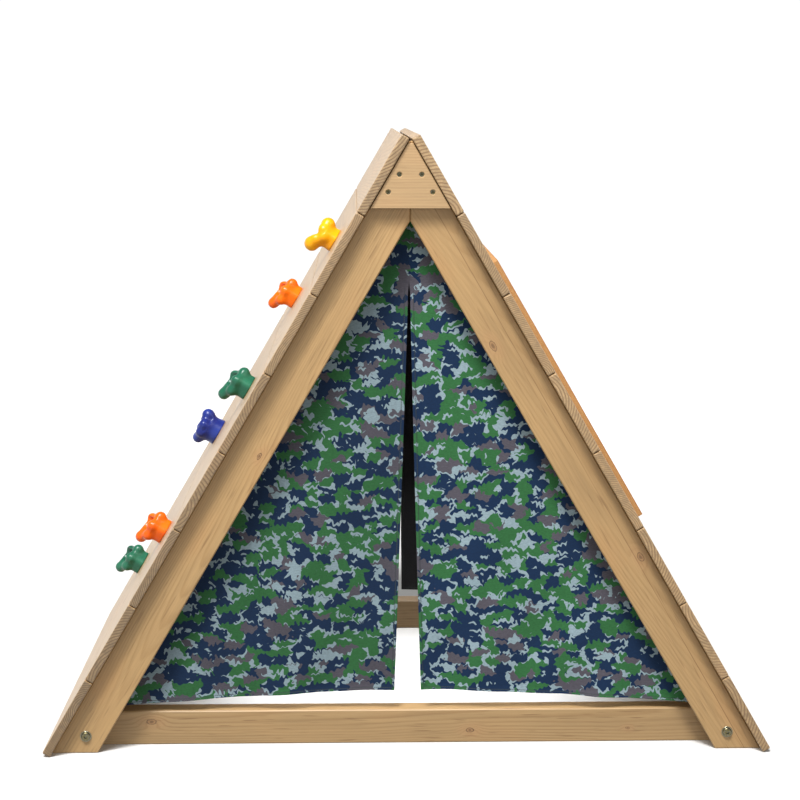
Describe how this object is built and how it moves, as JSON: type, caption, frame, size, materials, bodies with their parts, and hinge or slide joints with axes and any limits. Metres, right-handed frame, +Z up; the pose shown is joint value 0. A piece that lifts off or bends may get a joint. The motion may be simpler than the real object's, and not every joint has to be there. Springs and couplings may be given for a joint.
{
  "type": "wooden play tent",
  "caption": "A-frame wooden play tent for small children: plank walls with climbing holds and a chalkboard, and slit camouflage curtains at both ends.",
  "frame": {"origin": "on the ground, under the middle of the tent", "axes": "+X to the right seen from the front, +Y from the front end to the rear end along the ridge, +Z up"},
  "size_m": [1.2784, 0.815, 1.0764],
  "materials": {
    "pine_plank": "planed, pale",
    "pine_frame": "planed, warm tan",
    "chalkboard": "matt black chalk paint on fibreboard with bare tan edges",
    "yellow_plastic": "glossy moulded",
    "orange_plastic": "glossy moulded",
    "green_plastic": "glossy moulded",
    "blue_plastic": "glossy moulded",
    "zinc_steel": "zinc plated",
    "camouflage_cloth": "printed camouflage outside, black reverse"
  },
  "bodies": {
    "root": {"front_left_leg": "pine_frame", "front_right_leg": "pine_frame", "rear_left_leg": "pine_frame", "rear_right_leg": "pine_frame", "front_crossbar": "pine_frame", "rear_crossbar": "pine_frame", "front_gusset": "pine_frame", "rear_gusset": "pine_frame", "left_plank_1": "pine_plank", "left_plank_2": "pine_plank", "left_plank_3": "pine_plank", "left_plank_4": "pine_plank", "left_plank_5": "pine_plank", "left_plank_6": "pine_plank", "left_plank_7": "pine_plank", "left_plank_8": "pine_plank", "right_plank_1": "pine_plank", "right_plank_2": "pine_plank", "right_plank_3": "pine_plank", "right_plank_4": "pine_plank", "right_plank_5": "pine_plank", "right_plank_6": "pine_plank", "right_plank_7": "pine_plank", "right_plank_8": "pine_plank", "chalkboard": "chalkboard", "climbing_hold_1": "yellow_plastic", "climbing_hold_2": "orange_plastic", "climbing_hold_3": "green_plastic", "climbing_hold_4": "blue_plastic", "climbing_hold_5": "orange_plastic", "climbing_hold_6": "green_plastic", "hold_bolt_1": "zinc_steel", "hold_bolt_2": "zinc_steel", "hold_bolt_3": "zinc_steel", "hold_bolt_4": "zinc_steel", "hold_bolt_5": "zinc_steel", "hold_bolt_6": "zinc_steel", "front_left_frame_bolt": "zinc_steel", "front_left_frame_nut": "zinc_steel", "front_left_gusset_screw_1": "zinc_steel", "front_left_gusset_screw_2": "zinc_steel", "front_right_frame_bolt": "zinc_steel", "front_right_frame_nut": "zinc_steel", "front_right_gusset_screw_1": "zinc_steel", "front_right_gusset_screw_2": "zinc_steel", "rear_left_frame_bolt": "zinc_steel", "rear_left_frame_nut": "zinc_steel", "rear_left_gusset_screw_1": "zinc_steel", "rear_left_gusset_screw_2": "zinc_steel", "rear_right_frame_bolt": "zinc_steel", "rear_right_frame_nut": "zinc_steel", "rear_right_gusset_screw_1": "zinc_steel", "rear_right_gusset_screw_2": "zinc_steel", "front_curtain_header": "camouflage_cloth", "rear_curtain_header": "camouflage_cloth"},
    "front_left_flap_body": {"front_left_flap": "camouflage_cloth"},
    "front_right_flap_body": {"front_right_flap": "camouflage_cloth"},
    "rear_left_flap_body": {"rear_left_flap": "camouflage_cloth"},
    "rear_right_flap_body": {"rear_right_flap": "camouflage_cloth"}
  },
  "joints": [
    {"name": "front_left_flap_swing", "type": "hinge", "parent": "root", "child": "front_left_flap_body", "pos_m": [-0.06015, -0.348, 0.82], "axis": [0.5045, 0, 0.8634], "range_deg": [-85, 50]},
    {"name": "front_right_flap_swing", "type": "hinge", "parent": "root", "child": "front_right_flap_body", "pos_m": [0.06015, -0.348, 0.82], "axis": [0.5045, 0, -0.8634], "range_deg": [-85, 50]},
    {"name": "rear_left_flap_swing", "type": "hinge", "parent": "root", "child": "rear_left_flap_body", "pos_m": [-0.06015, 0.348, 0.82], "axis": [-0.5045, 0, -0.8634], "range_deg": [-85, 50]},
    {"name": "rear_right_flap_swing", "type": "hinge", "parent": "root", "child": "rear_right_flap_body", "pos_m": [0.06015, 0.348, 0.82], "axis": [-0.5045, 0, 0.8634], "range_deg": [-85, 50]}
  ]
}
